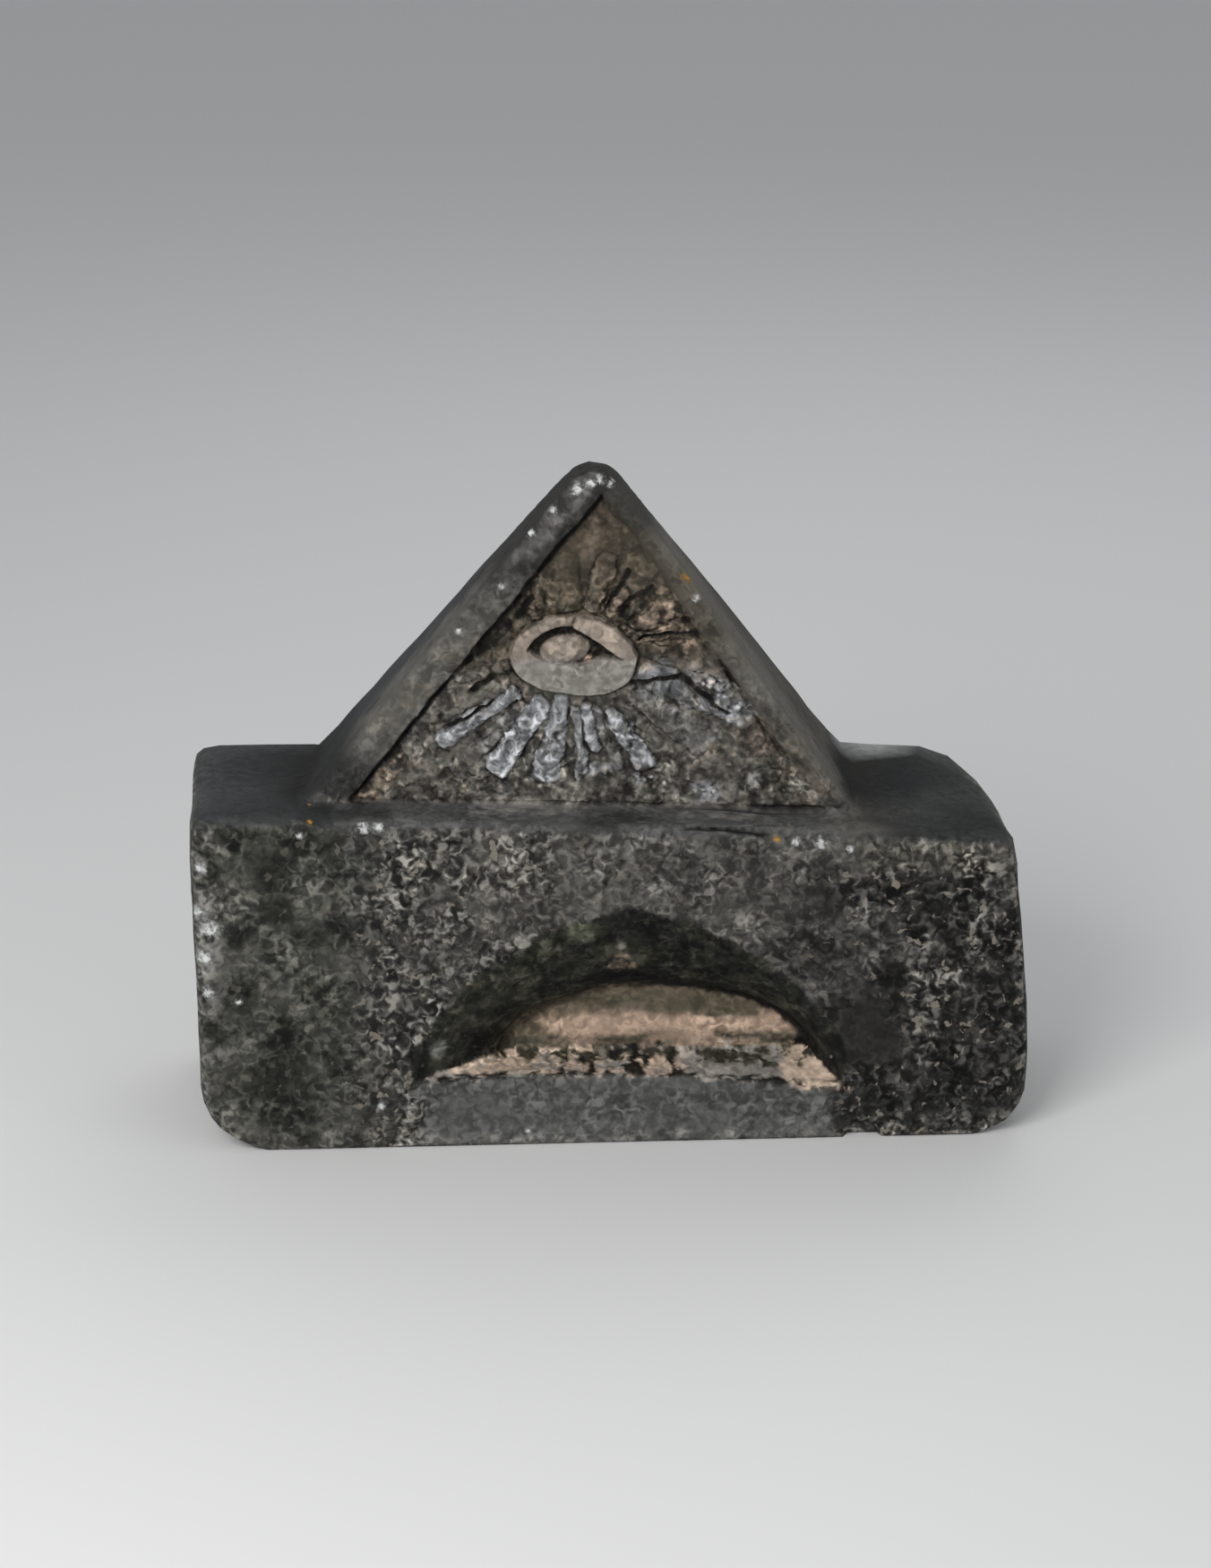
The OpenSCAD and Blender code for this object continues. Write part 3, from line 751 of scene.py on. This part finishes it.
def stain_panel_ground(s, panel, part, grey_zone):
    """The panel's brown ground, greyer low down, with worn pale rays and stones, painted shade in the
    gaps between stones and painted highlights on ridges.
    """
    x, z, blotch, medium, small = s.x, s.z, s.blotch, s.medium, s.small
    s.coat((78, 71, 60), panel)
    s.coat((58, 53, 44), panel * step(0, 0.35, blotch))
    s.coat((98, 96, 91), panel * grey_zone * 0.85)
    s.coat((62, 56, 47), panel * part.calm * 0.7)
    s.coat((54, 52, 48), panel * grey_zone * step(0, 0.4, -part.lumps) * 0.7)
    s.coat((110, 98, 87), panel * step(0, 0.4, medium) * step(-0.1, 0.25, blotch) * 0.7)
    s.coat((58, 56, 50), panel * step(0.05, 0.4, -medium) * 0.6)
    s.coat((108, 96, 82), panel * (1 - part.low) * step(0.1, 0.5, small) * 0.6)
    worn = step(0, 0.6, part.pale + 0.5 * small)
    pale = panel * worn * step(0, 0.6, part.pale)
    pinkish = np.clip(1 - grey_zone + step(-150, -170, x), 0, 1)
    s.coat((130, 131, 133), pale * (1 - pinkish))
    s.coat((114, 101, 88), pale * pinkish * 0.8)
    whitest = step(0.5, 0.9, part.pale + 0.5 * small + 0.3 * blotch) * step(0.4, -0.8, s.hollow)
    s.coat((186, 187, 187), panel * whitest * (1 - pinkish) * 0.75)
    s.coat((154, 134, 117), panel * whitest * pinkish * 0.7)
    grains = step(0.28, 0.5, layered_noise(s.p, 6, 255, 2)) * step(-0.2, 0.2, blotch + 0.6 * medium)
    between_rays = 1 - step(2, 4, part.rays)
    s.coat((150, 139, 125), panel * grains * step(410, 370, z) * between_rays * 0.75)
    stones = np.maximum(part.heap, 0.6 * part.low * (part.rays < 2))
    stone_tops = panel * stones * step(0.5, 0.9, part.pebble) * step(-0.3, 0.1, small)
    s.coat((168, 158, 144), stone_tops * grey_zone)
    s.coat((164, 139, 120), stone_tops * (1 - grey_zone))
    # Painted shade in the gaps between the stones.
    stone_gaps = panel * stones * step(0.16, 0.02, part.pebble) * step(0.2, -0.2, small)
    s.coat((34, 31, 28), stone_gaps * 0.85)
    # Painted highlight on the ridges that stand out.
    ridge = step(0.15, 0.9, -s.hollow) * step(-0.1, 0.5, small)
    s.coat((142, 138, 130), panel * ridge * 0.6 * (1 - part.calm))


def stain_splinters(s, panel, grey_zone):
    """Where the panel is shattered: pinkish splinters with painted shade in the gaps between them, and
    patches about them.
    """
    x, z, small = s.x, s.z, s.small
    splinters = splinter_noise(s.p)
    brown = np.maximum(step(24, 8, s.away(110, 320)), step(13, 6, s.away(42, 418)))
    s.coat((120, 104, 92), panel * brown * step(-0.35, 0, small) * 0.65)
    shattered = panel * (step(0, 0.35, spots(x, z, SHATTERED) + 0.2 * s.blotch) * (1 - grey_zone))
    s.coat((154, 133, 116), shattered * step(0.05, 0.3, splinters) * 0.7)
    s.coat((178, 158, 138), shattered * step(0.3, 0.45, splinters) * step(0, 0.3, s.medium) * 0.7)
    # Painted shade in the gaps between splinters.
    s.coat((34, 31, 26), shattered * step(-0.12, -0.3, splinters) * 0.75)
    bluish = step(20, 8, s.away(36, 368, 0.8) + 5 * small)
    s.coat((112, 115, 118), panel * bluish * 0.7)


def stain_eye(s, panel, part):
    """Pale lids and ball, with painted shade, near black, in the gap between them."""
    x, z, small = s.x, s.z, s.small
    lids = panel * np.maximum(part.lids, step(0, 0.35, part.ball))
    s.coat((134, 123, 112), lids)
    s.coat((130, 127, 122), lids * step(EYE_Z + 4, EYE_Z - 8, z) * 0.8)
    s.coat((98, 92, 84), lids * step(0.05, 0.5, small + 0.4 * s.blotch) * 0.35)
    right_lid = lids * step(EYE_X + 2, EYE_X + 12, x) * step(EYE_Z - 2, EYE_Z + 6, z)
    s.coat((150, 138, 125), right_lid * 0.7)
    # Painted shade in the eye's opening.
    s.coat((30, 28, 25), panel * part.gap)
    s.coat((146, 124, 108), panel * part.crumb * step(-0.25, 0, small))
    return lids


def stain_panel_shadows(s, panel, part, lids):
    """Painted shade in the panel's hollows, cracks and cuts and in one patch, and the painted shadow
    that the left band casts by its wall.
    """
    x, y, z, above, small = s.x, s.y, s.z, s.above, s.small
    # Painted shade in the panel's hollows.
    deep = step(0.15, 0.85, s.hollow + 0.25 * small) * (1 - 0.85 * lids)
    deep *= 1 - 0.7 * step(9, 4, above) * step(70, 30, x)
    s.coat((26, 24, 21), panel * deep * (0.45 + 0.45 * step(-0.3, 0.3, s.blotch)))
    # Painted shade in the cracks and the cuts.
    s.coat((30, 28, 25), panel * step(0.4, 0.8, part.crack) * 0.7)
    s.coat((22, 20, 18), panel * step(0.3, 0.8, part.cuts) * (1 - lids) * 0.9)
    shade = step(18, 4, s.away(-96, 402, 1, 0.8) + 6 * small)
    s.coat((44, 41, 34), panel * shade * (1 - lids) * 0.8)
    # Painted shadow that the left band casts along its inner wall.
    line = step(3.6, 1.6, np.abs(part.left_in - 1.6 - 0.8 * small)) * step(4, 9, above)
    line *= (y < PANEL_Y + 5) * (y > GABLE_Y - 5) * step(-2, 3, inside_right(x, z))
    s.coat((15, 14, 13), line * step(-0.6, -0.1, s.medium))


def stain_panel(s):
    """The carved panel."""
    x, y, z = s.p.T
    panel = step(-0.8, 0.8, inside_left(x, z)) * step(-2, 1.5, inside_right(x, z))
    panel *= step(0.5, 2, s.above) * (y < PANEL_Y + 5) * (y > GABLE_Y - 5)
    _, part = panel_parts(s.p)
    grey_zone = step(400, 355, z + 10 * s.blotch)
    stain_panel_ground(s, panel, part, grey_zone)
    stain_splinters(s, panel, grey_zone)
    lids = stain_eye(s, panel, part)
    s.mottled(0.6, panel)
    s.mottled(0.3, lids)
    s.mottled(0.35, panel * part.calm)
    stain_panel_shadows(s, panel, part, lids)

    # Broken pale stone along the panel's foot.
    chips = step(7, 2, np.abs(s.above - 2) + 3 * s.small)
    chips *= (y > GABLE_Y - 8) * (y < PANEL_Y + 4)
    chips *= np.maximum(step(48, 34, np.abs(x + 68)), step(34, 22, np.abs(x - 76)))
    s.coat((126, 122, 115), chips * step(-0.3, 0.1, s.medium) * 0.75)
    return panel


def stain_reveal(s):
    """The niche's reveal, olive-black from algae and from painted shade, with a few pale spots."""
    x, y, z, blotch, small = s.x, s.y, s.z, s.blotch, s.small
    arch = inside_arch(x, z, NICHE_X, NICHE_W, NICHE_H, NICHE_POWER)
    arch += 7 * layered_noise(s.p, 20, 235, 4, 0.6) - 3 * step(80, 30, np.abs(x - NICHE_X))
    reveal = step(-5.5, -2, arch) * step(sill_line(x) - 1, sill_line(x) + 3, z)
    reveal *= y < FRONT + NICHE_D + 9
    # Algae and painted shade make the reveal olive-black.
    s.coat((34, 34, 29), reveal)
    s.coat((64, 63, 54), reveal * step(0.1, 0.5, blotch + 0.7 * small) * 0.75)
    s.coat((16, 16, 14), reveal * step(0, 0.4, -blotch - 0.7 * small) * 0.8)
    s.coat((62, 58, 47), reveal * step(FRONT + 26, FRONT + 42, y) * step(-30, -70, x) * 0.8)
    s.coat((82, 84, 70), reveal * step(17, 7, s.away(-27, 178, 1, 1.2) + 4 * small))
    s.coat((114, 115, 108), reveal * step(12, 5, s.away(-138, 82, 1.3) + 3 * small))

    # A pale nub hangs at the crown, over a thin line of painted shadow.
    nub = step(3, 0, np.abs(x - 5) - (160 - z) * 0.5) * step(137, 141, z) * step(158, 152, z)
    s.coat((128, 114, 98), reveal * nub * step(-0.6, -0.1, small))
    s.coat((112, 109, 101), reveal * step(5, 2, s.away(4, 162) + 4 * small))
    nub_shadow = step(2.2, 0.8, np.abs(z - 131 + 0.004 * (x - 4) ** 2)) * (np.abs(x - 2) < 32)
    s.coat((15, 14, 12), reveal * nub_shadow)
    inner_rim = reveal * step(FRONT + 32, FRONT + 42, y) * step(95, 40, np.abs(x - 20))
    s.coat((74, 66, 54), inner_rim * step(-0.1, 0.3, small) * 0.4)
    return reveal


def stain_niche_back(s, niche):
    """The niche's streaky brown back, with painted shadow in the crease round it."""
    x, y, z, small = s.x, s.y, s.z, s.small
    inner = inside_arch(x, z, NICHE_BACK_X, NICHE_BACK_W, NICHE_BACK_H, NICHE_BACK_POWER)
    back = niche * step(FRONT + NICHE_D - 10, FRONT + NICHE_D - 4, y) * step(0.4, 0.8, s.forward)
    back *= step(-2.5, 0.5, inner)
    streaky = layered_noise(s.p * (0.35, 1, 1.6), 16, 230, 4, 0.6)
    wavy = z + 9 * streaky + 3.5 * small
    s.coat((140, 122, 106), back)
    s.coat((176, 152, 133), back * step(70, 75, wavy) * step(94, 86, wavy))
    s.coat((80, 75, 61), back * step(-40, -74, x + 0.5 * (z - 85) + 20 * streaky) * 0.85)
    olive = step(86, 98, wavy) * step(-60, 0, x + 40 * streaky) * step(125, 95, x - 30 * streaky)
    broken = step(-0.15, 0.1, streaky + 0.5 * small + 0.3 * s.medium)
    s.coat((66, 65, 52), back * olive * broken * 0.9)
    s.coat((86, 79, 66), back * step(84, 97, z + 5 * streaky) * 0.8)
    s.coat((66, 64, 54), back * step(78, 71, wavy) * step(-0.1, 0.15, streaky) * 0.9)
    # Painted shadow in the crease round the back.
    crease = step(3.4, 1.4, np.abs(inner - 1 + 2 * small)) * (y > FRONT + NICHE_D - 14)
    s.coat((16, 15, 14), niche * crease * step(-20, 50, x) * 0.9)
    s.coat((40, 38, 32), niche * crease * step(20, -60, x) * 0.5)
    return back


def stain_ledge(s, niche):
    """The niche's ledge: pale broken stone made paler by painted light, a mossy line behind and a
    ragged dark front.
    """
    x, y, z, small = s.x, s.y, s.z, s.small
    ledge = niche * step(0.2, 0.5, s.up) * step(SILL_H + 12, SILL_H + 6, z)
    chunks = layered_noise(s.p * (1, 0.3, 1), 11, 240, 3, 0.6)
    # Pale stone, lightened further with painted light for the shade under the niche's crown.
    s.coat((196, 175, 155), ledge)
    greyer = s.blotch + 0.4 * step(40, 70, x) - step(120, 140, x)
    s.coat((134, 132, 128), ledge * step(0, 0.35, greyer) * 0.8)
    rear_line = ledge * step(FRONT + 29, FRONT + 36, y + 26 * chunks)
    s.coat((56, 54, 44), rear_line * step(-0.25, 0, small))
    rubble = step(75, 40, np.abs(x - 5 + 20 * s.blotch))
    s.coat((26, 24, 22), ledge * step(0.06, 0.18, chunks) * (0.1 + 0.85 * rubble))
    lip = step(7.5, 4, np.hypot(0.7 * (y - FRONT - 1), z - sill_line(x) - 1))
    lip *= np.abs(x - NICHE_X) < SILL_REACH
    s.coat((24, 23, 21), lip * step(-0.2, 0, layered_noise(s.p, 9, 245, 3, 0.6)))
    return ledge


def stain_niche(s):
    """The niche with its reveal, back and ledge."""
    niche = niche_zone(s.x, s.y, s.z)
    reveal = stain_reveal(s)
    back = stain_niche_back(s, niche)
    ledge = stain_ledge(s, niche)
    niche = np.maximum(niche, reveal)
    s.mottled(0.55, niche)
    s.mottled(0.35, ledge)
    s.mottled(0.32, back)
    return niche


def stain_hollow_shade_and_edge_light(s, shoulder, panel, niche):
    """Painted shade darkens hollows outside the panel and niche, and edges that stand out get a painted
    highlight.
    """
    x, y, above = s.x, s.y, s.above
    gable = step(6, 12, above)
    foot_line = step(16, 10, np.abs(above)) * step(GABLE_Y - 12, GABLE_Y - 4, y) * (y < PANEL_Y + 8)
    # Painted shade in the hollows.
    hollow_shade = step(0.25, 1.2, s.hollow + 0.15 * s.wide + 0.1 * s.small) * (1 - panel) * (1 - niche)
    hollow_shade *= (1 - 0.8 * gable) * (1 - 0.75 * foot_line * (np.abs(x + 20) < 190))
    s.coat((30, 29, 27), hollow_shade * 0.75)
    # Painted highlight on edges that stand out.
    bright = step(0.3, 1.1, -s.hollow) * (1 - panel) * (1 - niche) * (1 - gable)
    s.coat((112, 110, 104), bright * 0.35 * (1 - 0.7 * shoulder))


def stained(stone):
    """Stores the stone's local colour with its painted light and shade, how strongly it is mottled, and
    its lichen.
    """
    mesh = stone.data
    s = Surface(mesh)
    s.coat((56, 55, 52), step(0, 0.5, s.blotch) * 0.6)
    s.coat((88, 86, 81), step(0.05, 0.5, s.patch) * 0.6)
    stain_front(s)
    stain_sill(s)
    shoulder = stain_shoulders(s)
    stain_gable(s)
    panel = stain_panel(s)
    # Painted shade on the rounded right end, which turns away from the light.
    right_end_shade = step(302, 320, s.x + 6 * s.small) * step(-40, -70, s.y) * step(238, 225, s.z)
    s.coat((27, 27, 26), right_end_shade * 0.75)
    niche = stain_niche(s)
    stain_hollow_shade_and_edge_light(s, shoulder, panel, niche)

    save_colour(mesh, "stain_and_painted_light", linear(s.rgb))
    save_value(mesh, "mottle", s.mottle)
    on_face = step(0.2, 0.6, s.forward) * (s.y < -50)
    bare = on_face * (1 - panel)
    save_value(mesh, "white_lichen", spots(s.x, s.z, WHITE_LICHEN) * bare * (1 - niche))
    save_value(mesh, "orange_lichen", spots(s.x, s.z, ORANGE_LICHEN) * bare)


def save_value(mesh, name, values):
    attribute = mesh.attributes.new(name, "FLOAT", "POINT")
    attribute.data.foreach_set("value", np.clip(values, 0, 2).astype(np.float32))


def save_colour(mesh, name, rgb):
    attribute = mesh.color_attributes.new(name, "FLOAT_COLOR", "POINT")
    rgba = np.ones((len(rgb), 4), dtype=np.float32)
    rgba[:, :3] = rgb
    attribute.data.foreach_set("color", rgba.ravel())


# ---- material
def srgb(r, g, b):
    """A colour written from 0 to 255, as nodes take it."""
    return (*linear((r, g, b)), 1)


class Graph:
    """Short names for the nodes that the stone's material uses."""

    def __init__(self, material):
        material.use_nodes = True
        self.tree = material.node_tree
        self.tree.nodes.clear()
        self.place = self.node("ShaderNodeTexCoord").outputs["Object"]

    def node(self, kind, inputs=(), **settings):
        """A new node, each input linked from a socket or set to a value."""
        made = self.tree.nodes.new(kind)
        for name, value in settings.items():
            setattr(made, name, value)
        for name, value in dict(inputs).items():
            if isinstance(value, bpy.types.NodeSocket):
                self.tree.links.new(value, made.inputs[name])
            else:
                made.inputs[name].default_value = value
        return made

    def stored(self, name, output="Fac"):
        return self.node("ShaderNodeAttribute", attribute_name=name).outputs[output]

    def noise(self, size, detail=4, roughness=0.6, distortion=0, shift=0):
        """Noise whose lumps measure about size in millimetres."""
        moved = self.node("ShaderNodeMapping", {
            "Vector": self.place, "Location": (shift, 1.7 * shift, 2.3 * shift)})
        made = self.node("ShaderNodeTexNoise", {
            "Vector": moved.outputs["Vector"], "Scale": 1 / (size * MM), "Detail": detail,
            "Roughness": roughness, "Distortion": distortion})
        return made.outputs["Fac"]

    def ramp(self, value, start, end, low_value=0, high_value=1, kind="SMOOTHSTEP"):
        """Goes from low_value at start to high_value at end."""
        made = self.node("ShaderNodeMapRange", {
            "Value": value, "From Min": start, "From Max": end, "To Min": low_value,
            "To Max": high_value}, interpolation_type=kind)
        return made.outputs["Result"]

    def math(self, operation, *values):
        """The values joined by one operation, from first to last."""
        result = values[0]
        for value in values[1:]:
            joined = self.node("ShaderNodeMath", {0: result, 1: value}, operation=operation)
            result = joined.outputs["Value"]
        return result

    def add(self, *values):
        return self.math("ADD", *values)

    def times(self, *values):
        return self.math("MULTIPLY", *values)

    def scaled(self, colour, factor):
        inputs = {0: colour, "Scale": factor}
        return self.node("ShaderNodeVectorMath", inputs, operation="SCALE").outputs["Vector"]

    def mix(self, factor, a, b):
        inputs = {"Factor": factor, "A": a, "B": b}
        return self.node("ShaderNodeMix", inputs, data_type="RGBA").outputs["Result"]


def stone_material():
    """Stored local colour with its painted light and shade, broken up by fine mottling, with crusts of
    lichen.
    """
    material = bpy.data.materials.new("weathered_stone")
    g = Graph(material)
    worms = g.noise(6.8, 1.6, 0.45, 0.8)
    grains = g.noise(17, 5, 0.6, 0.3, 3.1)
    grit = g.noise(2.5, 2, 0.5, 0, 7.7)
    field = g.add(g.times(worms, 0.6), g.times(grains, 0.35), g.times(grit, 0.05))
    swing = g.ramp(field, 0.4, 0.6, -1, 1, "LINEAR")
    mottle = g.stored("mottle")
    patchy = g.ramp(g.noise(34, 2, 0.5, 0, 4.4), 0.35, 0.65, 0.55, 1.35)
    gain = g.math("POWER", 2, g.times(swing, mottle, patchy, 1.75))
    colour = g.scaled(g.stored("stain_and_painted_light", "Color"), gain)
    sparse = g.noise(8.5, 2, 0.5, 0.4, 5.3)
    flecks = g.times(g.ramp(sparse, 0.61, 0.67), g.ramp(mottle, 0.4, 1.15), 0.75)
    colour = g.mix(flecks, colour, srgb(132, 125, 114))

    # Lichen: thin and dull at its edges, thick and bright in the middle.
    lace = g.noise(4.5, 3, 0.7, 0.8, 11)
    kinds = (("white_lichen", srgb(134, 135, 133), srgb(214, 216, 213)),
             ("orange_lichen", srgb(126, 96, 44), srgb(186, 128, 36)))
    for name, thin, thick in kinds:
        crust = g.stored(name)
        depth = g.add(g.times(crust, 0.55), lace)
        tint = g.mix(g.ramp(depth, 0.8, 1.05), thin, thick)
        cover = g.ramp(depth, 0.66, 0.9)
        colour = g.mix(g.times(cover, g.ramp(crust, 0, 0.3), 0.85), colour, tint)

    rougher = g.ramp(mottle, 0, 1, 0.25, 1.2, "LINEAR")
    relief = g.times(g.add(g.times(worms, 0.6), g.times(grit, 0.4)), rougher)
    bump = g.node("ShaderNodeBump", {"Strength": 0.55, "Distance": 0.0015, "Height": relief})
    shader = g.node("ShaderNodeBsdfPrincipled", {
        "Base Color": colour, "Roughness": 0.85, "Specular IOR Level": 0.15,
        "Normal": bump.outputs["Normal"]})
    g.node("ShaderNodeOutputMaterial", {"Surface": shader.outputs["BSDF"]})
    return material


# ---- studio
VIEW_AZIMUTH, VIEW_ELEVATION = math.radians(-3), math.radians(20)
VIEW_AIM = Vector((-0.0035, 0, 0.2625))
VIEW_DISTANCE, VIEW_SPAN = 2.9, 1.225
SENSOR = 36
# Lamps: name, direction from the stone, distance, size and power.
LAMP_AIM = Vector((0, 0, 0.25))
LAMPS = [("key", (-0.8, -1.4, 1), 2.6, 1.3, 46),
         ("fill", (1.3, -1.2, 0.6), 3.2, 2.4, 12),
         ("rear", (0.4, 1.2, 1.4), 2.8, 1.8, 12)]
FLOOR_HALF, FLOOR_COLOUR = 12, (0.72, 0.715, 0.70, 1)
SKY_COLOUR, SKY_STRENGTH = (0.92, 0.95, 1, 1), 0.42


def placed(name, data, aim, direction, distance):
    """Puts a camera or lamp at a distance from what it points at."""
    made = bpy.data.objects.new(name, data)
    made.location = aim + direction * distance
    made.rotation_euler = direction.to_track_quat("Z", "Y").to_euler()
    bpy.context.scene.collection.objects.link(made)
    return made


def set_camera():
    """The camera looks a little down at the front, slightly from the left."""
    direction = Vector((
        math.sin(VIEW_AZIMUTH) * math.cos(VIEW_ELEVATION),
        -math.cos(VIEW_AZIMUTH) * math.cos(VIEW_ELEVATION),
        math.sin(VIEW_ELEVATION)))
    data = bpy.data.cameras.new("camera")
    data.sensor_fit = "VERTICAL"
    data.sensor_height = SENSOR
    data.lens = SENSOR * VIEW_DISTANCE / VIEW_SPAN
    bpy.context.scene.camera = placed("camera", data, VIEW_AIM, direction, VIEW_DISTANCE)


def set_lamps():
    """Soft square lamps that point at the middle of the stone."""
    for name, direction, distance, size, power in LAMPS:
        data = bpy.data.lights.new(name, "AREA")
        data.size = size
        data.energy = power
        placed(name, data, LAMP_AIM, Vector(direction).normalized(), distance)


def set_floor():
    """A wide pale floor, kept out of the object."""
    mesh = bpy.data.meshes.new("floor")
    half = FLOOR_HALF
    corners = [(-half, -half, 0), (half, -half, 0), (half, half, 0), (-half, half, 0)]
    mesh.from_pydata(corners, [], [(0, 1, 2, 3)])
    floor = bpy.data.objects.new("floor", mesh)
    bpy.context.scene.collection.objects.link(floor)
    material = bpy.data.materials.new("pale_floor")
    material.use_nodes = True
    shader = material.node_tree.nodes["Principled BSDF"]
    shader.inputs["Base Color"].default_value = FLOOR_COLOUR
    shader.inputs["Roughness"].default_value = 0.9
    mesh.materials.append(material)


def set_studio():
    set_camera()
    set_floor()
    set_lamps()
    world = bpy.data.worlds.new("studio")
    bpy.context.scene.world = world
    world.use_nodes = True
    background = world.node_tree.nodes["Background"]
    background.inputs["Color"].default_value = SKY_COLOUR
    background.inputs["Strength"].default_value = SKY_STRENGTH
    bpy.context.scene.view_settings.view_transform = "Standard"


# ---- build
set_studio()
carved = fresh_stone()
sculpt(carved)
stained(carved)
carved.data.materials.append(stone_material())
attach(carved, "root")
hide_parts(NODE)
